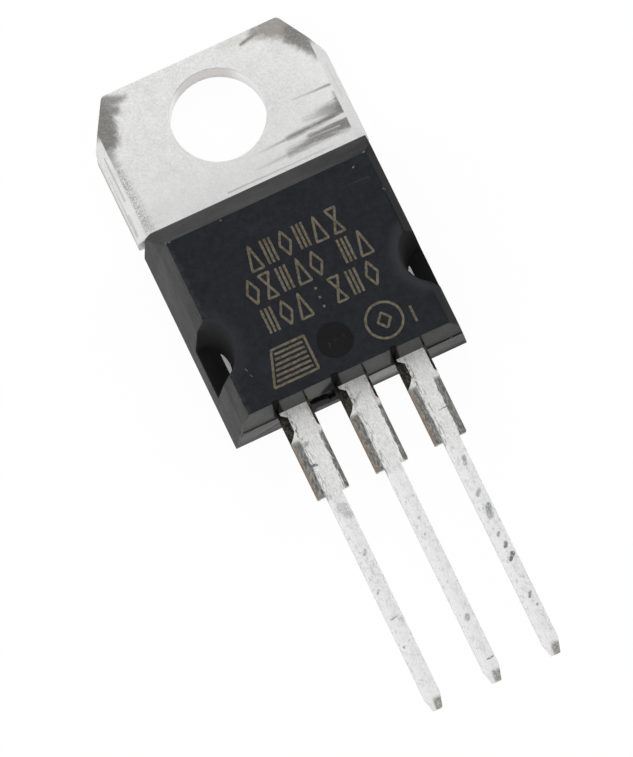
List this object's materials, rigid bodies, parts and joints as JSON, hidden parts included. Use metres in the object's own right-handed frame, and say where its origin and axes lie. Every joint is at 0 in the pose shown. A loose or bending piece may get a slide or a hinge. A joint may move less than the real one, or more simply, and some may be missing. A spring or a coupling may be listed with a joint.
{
  "type": "darlington transistor",
  "caption": "Black moulded power transistor with straight flat leads and a drilled metal heat-sink tab, for soldering to a board and screwing to a heat sink.",
  "frame": {"origin": "centre of the mounting hole, on the bare metal back that seats on a heat sink", "axes": "+Z from the back to the moulded front face, +Y along the part to the tab's end, +X to the right seen from the front with the tab up; the leads point to -Y"},
  "size_m": [0.0102, 0.0286, 0.0045],
  "materials": {
    "resin": "matt, moulded",
    "tinned_copper": "matt tin plate",
    "silicon": "polished",
    "solder": "satin",
    "aluminium_wire": "satin"
  },
  "bodies": {
    "root": {"mould_body": "resin", "header_collector": "tinned_copper", "base_lead": "tinned_copper", "emitter_lead": "tinned_copper", "chip": "silicon", "chip_solder": "solder", "base_wire": "aluminium_wire", "emitter_wire": "aluminium_wire"}
  },
  "joints": []
}
